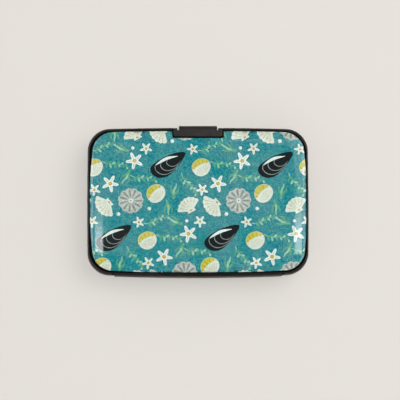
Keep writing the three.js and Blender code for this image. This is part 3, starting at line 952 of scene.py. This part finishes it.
def makeRocker():
    front, top, under = latch["padFront"], latch["padTop"], latch["padUnder"]
    inner, outer = latch["armInner"], latch["armOuter"]
    half, arm = latch["padHalf"], latch["armHalf"]
    backWide, backTall = latch["padBackRound"]
    frontWide, frontTall = latch["padFrontRound"]
    flatEnd, steps = inner - backWide, 10
    pad = [(front, under), (inner, under)]
    pad += arc(flatEnd, top - backTall, backWide, backTall, 0, 80, 6)
    for i in range(steps + 1):
        dip = latch["padDish"] * sin(pi * i / steps)
        pad.append((flatEnd + (front + frontWide - flatEnd) * i / steps, top - dip))
    pad += arc(front + frontWide, top - frontTall, frontWide, frontTall, 100, 180, 6)
    piece = combine(prism("latchRocker", pad, -half, half, "X"),
                    edgeSlab(half, front, latch["padCorner"], 0), "INTERSECT")
    gap, pivotY, pivotZ = latch["earGap"], latch["pivotY"], latch["pivotZ"]
    for left in (-arm - gap, arm):
        cut(piece, block("ear", left, left + gap, latch["earEnd"], past["latch"], 0, past["high"]))
    tip, hookTop, hookEnd = latch["hookTip"], latch["hookTop"], latch["hookEnd"]
    lead, radius, fall = latch["hookLead"], latch["hookRound"], latch["armFall"]
    hook = [(tip, hookTop), (tip, hookEnd + lead), (tip + lead, hookEnd)]
    hook += bend(outer - radius, hookEnd + radius, radius, 270, 360, 5)
    hook += arc(flatEnd, top - fall, outer - flatEnd, fall, 0, 90, 12)
    hook += [(flatEnd, under), (inner, under - latch["armRoot"]), (inner, hookTop)]
    add(piece, prism("arm", hook, -arm, arm, "X"))
    lug, web = latch["lug"], latch["webHalf"]
    for sign in (-1, 1):
        left, right = sorted((sign * latch["springRoom"], sign * arm))
        add(piece, turned("lug", [(left, lug), (right, lug)], pivotY, pivotZ, roundSides))
        add(piece, block("web", left, right, pivotY - web, pivotY + web,
                         pivotZ, under + latch["webOverlap"]))
    cut(piece, rod(latch["pinHole"], notch["half"] + 1, pivotY, pivotZ))
    return moved(piece, frontPlace)


def paintRecessShade(piece, pocketed):  # painted shade: near-black on the seat under the plate's edge, in the hinge slots and in the latch pocket
    near, spare = 0.02, 0.05
    piece.data.materials.append(paintedShadeBlack)
    for face in piece.data.polygons:
        x, y, z = face.center / mm
        height = abs(z - case["half"])
        onSeat = abs(height - rim["seat"]) < near
        inNotch = abs(x) < notch["half"] + spare and y > notch["bottom"] - spare
        inPocket = pocketed and inNotch and height > latch["pocketFloor"] - spare
        pastHinge = abs(x) - hinge["length"] / 2
        besideHinge = -near < pastHinge < hinge["slotWidth"] + near
        if onSeat or inPocket or besideHinge and y < hinge["slotEnd"] + near:
            # these faces take the painted-shade black
            face.material_index = 1


for piece, packed, body, look in (
        (makeFrontRim(), "front_frame", "front_half", rimBlack),
        (makeBackRim(), "back_frame", "back_half", rimBlack),
        (makeRocker(), "latch_lever", "latch", latchBlack)):
    smoothed(piece, rim["sharp"])
    piece.data.materials.clear()
    piece.data.materials.append(look)
    if look is rimBlack:
        # painted shade in the rim's recesses
        paintRecessShade(piece, packed == "front_frame")
    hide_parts(packed)
    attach(piece, body)
    print(piece.name, len(piece.data.polygons), "faces")

# Pleated film that joins each pocket's two sheets along both sides and the bottom.
pleat = {
    "film": 0.12, "flap": 2.4, "cornerFlap": 0.7, "lift": 0.04,
    "reach": 3.0, "bottomShare": 0.62, "top": 16.25, "corner": 2.0,
    "sideSteps": 22, "cornerSteps": 6, "bottomSteps": 32, "wave": 0.023, "sharp": 50.0,
    "foot": ((-0.8, 0.0), (0.05, 0.0), (0.5, 0.05)),  # way out, share of the rise
    "fold": ((0.35, 0.2), (0.08, 0.1)),  # how far short of the fold and off middle
}


def pleatLine(low, high):  # middle of the film, as (distance out of the sheet's edge, height)
    lift, reach = pleat["lift"] + pleat["film"] / 2, pleat["reach"]
    middle, start = (low + high) / 2, low + lift
    half = [(-pleat["flap"], start)]
    half += [(out, start + share * (middle - start)) for out, share in pleat["foot"]]
    half += [(reach - short, middle - off) for short, off in pleat["fold"]]
    return half + [(reach, middle)] + [(w, 2 * middle - z) for w, z in half[::-1]]


# Round the sheet's edge, as (x, y, way out, share of the reach, share of the flap).
def pleatPath(side, foot):
    corner, share, top = pleat["corner"], pleat["bottomShare"], pleat["top"]
    stations = []
    for i in range(pleat["sideSteps"]):
        along = top + (foot + corner - top) * i / pleat["sideSteps"]
        stations.append((-side, along, pi, 1.0, 1.0))
    for x, y in bend(corner - side, foot + corner, corner, 180, 270, pleat["cornerSteps"]):
        out = atan2(y - foot - corner, x - corner + side) % tau
        stations.append((x, y, out, 1 + (share - 1) * (out / pi - 1) * 2, pleat["cornerFlap"]))
    steps = pleat["bottomSteps"] // 2
    for i in range(1, steps + 1):
        x = (corner - side) * (1 - i / steps)
        stations.append((x, foot, 1.5 * pi, share, 1.0))
    mirrored = [(-x, y, pi - out, grow, flap) for x, y, out, grow, flap in stations[-2::-1]]
    return stations + mirrored


def makePleat(name, low, high, side, foot):
    line = pleatLine(low, high)
    section = strip(line, [pleat["film"] / 2] * len(line))
    stations, count = pleatPath(side, foot), len(section)
    points, faces = [], []
    for step, (x, y, out, grow, flap) in enumerate(stations):
        swing = pleat["wave"] * (sin(0.31 * step) + 0.6 * sin(0.83 * step + low))
        for w, z in section:
            away = w * (grow - abs(swing)) if w > 0 else w * flap
            points.append((x + away * cos(out), y + away * sin(out), z))
    last = (len(stations) - 1) * count
    for base in range(0, last, count):
        faces += bridged(base, base + count, count)
    quads = [(i, i + 1, count - 2 - i, count - 1 - i) for i in range(count // 2 - 1)]
    faces += quads + [tuple(last + i for i in q)[::-1] for q in quads]
    return meshPiece(name, points, faces)


for pocket in range(7):
    below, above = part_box(f"pocket_sheet_{pocket}"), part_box(f"pocket_sheet_{pocket + 1}")
    piece = makePleat(f"pocketPleat{pocket}", below[1].z / mm, above[0].z / mm,
                      below[1].x / mm, below[0].y / mm)
    smoothed(piece, pleat["sharp"])
    piece.data.materials.append(pleatFilm)
    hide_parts("gusset_left", "gusset_right", "gusset_bottom")
    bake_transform(piece)
print("pleats done")

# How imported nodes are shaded: weld in metres, angles in degrees.
keptShade = {"weld": 1e-6, "sharp": 36.0, "bevelOver": 40.0, "segments": 2}


def makeRoundShade():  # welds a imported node's corners and shades its round faces smooth
    tree = bpy.data.node_groups.new("roundShade", "GeometryNodeTree")
    tree.is_modifier = True
    for way in ("INPUT", "OUTPUT"):
        tree.interface.new_socket("Geometry", in_out=way, socket_type="NodeSocketGeometry")
    given, result = tree.nodes.new("NodeGroupInput"), tree.nodes.new("NodeGroupOutput")

    def step(kind, shape, values, **settings):
        made = node(tree, "GeometryNode" + kind, {"Geometry": shape, **values}, **settings)
        return made.outputs["Geometry"]

    shape = step("RemoveAttribute", given.outputs["Geometry"], {"Name": "custom_normal"})
    shape = step("MergeByDistance", shape, {"Distance": keptShade["weld"]})
    shape = step("SetShadeSmooth", shape, {}, domain="FACE")
    angle = node(tree, "GeometryNodeInputMeshEdgeAngle").outputs["Unsigned Angle"]
    limits = {0: angle, 1: radians(keptShade["sharp"])}
    sharp = node(tree, "FunctionNodeCompare", limits, data_type="FLOAT", operation="GREATER_THAN")
    crisp = {"Selection": sharp.outputs["Result"], "Shade Smooth": False}
    wire(tree, result, {"Geometry": step("SetShadeSmooth", shape, crisp, domain="EDGE")})
    return tree


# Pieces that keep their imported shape: finish and edge rounding in mm.
keptNodes = {
    "front_shield": (shieldAluminium, 0.0),
    "back_shield": (shieldAluminium, 0.0),
    "front_tape": (tapeFoam, 0.15),
    "back_tape": (tapeFoam, 0.15),
    "hinge_pin": (pinSteel, 0.12),
    "latch_pin": (blackSteel, 0.1),
    "latch_spring": (springSteel, 0.0),
    **{f"pocket_sheet_{i}": (smokedFilm, 0.08) for i in range(8)},
}
roundShade = makeRoundShade()
for name, (look, edge) in keptNodes.items():
    kept = nodes[name]
    kept.data.materials.clear()
    kept.data.materials.append(look)
    shade = kept.modifiers.new("roundShade", "NODES")
    shade.node_group = roundShade
    if edge:
        soften = kept.modifiers.new("soften", "BEVEL")
        soften.width = edge * mm
        soften.segments = keptShade["segments"]
        soften.limit_method = "ANGLE"
        soften.angle_limit = radians(keptShade["bevelOver"])
        soften.harden_normals = True
print("kept nodes dressed")

# Stage: pale floor, soft studio light, camera almost straight above.
stage = {
    "floor": paint(232, 227, 221), "floorShade": 0.992, "floorHalf": 3000.0, "floorHeight": -0.02,
    "aim": (1.05, 1.15, 10.0), "away": 640.0, "tilt": 3.3, "turn": 1.0, "roll": -0.1,
    "lens": 115.3, "sensor": 36.0, "world": 0.3,
}
# Lamp name: place, aim, width, height, power, seen by matt and by glossy surfaces.
lamps = {
    "overhead": ((0, -0.06, 1.6), (0, 0, 0), 0.2, 0.2, 14.0, True, False),
    "key": ((0.6, 0.4, 1.2), (0, 0, 0), 0.9, 0.9, 3.6, True, True),
    "leftStrip": ((-0.318, -0.016, 1.0), (-0.05, -0.016, 0), 0.074, 0.34, 0.88, False, True),
    "rightStrip": ((0.4, -0.03, 1.0), (0.05, -0.03, 0), 0.128, 0.34, 1.0, False, True),
    "leftCard": ((-1.1, 0, 0.75), (0, 0, 0), 2.0, 0.9, 19.0, False, True),
    "rightCard": ((1.1, 0, 0.75), (0, 0, 0), 2.0, 0.9, 19.0, False, True),
}


def makeFloor():
    half, low = stage["floorHalf"], stage["floorHeight"]
    corners = [(-half, -half, low), (half, -half, low), (half, half, low), (-half, half, low)]
    piece = meshPiece("floor", corners, [(0, 1, 2, 3)])
    material, tree, shader = finish("paleFloor", {"Specular IOR Level": 0.1, "Roughness": 0.9})
    texture = placed(tree, mouldGrain, {"Scale": 1500.0})
    share = ranged(tree, texture["Tone"], (0.2, 0.8), whole)
    dark = tuple(c * stage["floorShade"] for c in stage["floor"][:3]) + (1.0,)
    wire(tree, shader, {"Base Color": blended(tree, share, stage["floor"], dark)})
    piece.data.materials.append(material)


def areaLamp(name, place, aim, width, height, power, diffuse, glossy):
    lamp = bpy.data.lights.new(name, "AREA")
    lamp.shape = "RECTANGLE"
    lamp.size, lamp.size_y, lamp.energy = width, height, power
    holder = linked(name, lamp)
    holder.location = place
    holder.rotation_mode = "QUATERNION"
    holder.rotation_quaternion = (Vector(aim) - Vector(place)).to_track_quat("-Z", "Y")
    holder.visible_diffuse, holder.visible_glossy = diffuse, glossy


def makeStage():
    makeFloor()
    world = bpy.data.worlds.new("studio")
    scene.world = world
    world.use_nodes = True
    tree = world.node_tree
    wire(tree, tree.nodes["Background"], {"Color": white, "Strength": stage["world"]})
    for name, settings in lamps.items():
        areaLamp(name, *settings)
    camera = linked("camera", bpy.data.cameras.new("camera"))
    camera.data.sensor_width = stage["sensor"]
    camera.data.lens = stage["lens"]
    camera.data.clip_start = 0.01
    lean, turn = radians(stage["tilt"]), radians(stage["turn"])
    camera.rotation_euler = (lean, -turn, radians(stage["roll"]))
    back = camera.rotation_euler.to_matrix() @ Vector((0, 0, 1))
    camera.location = (Vector(stage["aim"]) + back * stage["away"]) * mm
    scene.camera = camera
    scene.view_settings.view_transform = "Standard"


makeStage()
print("stage done")
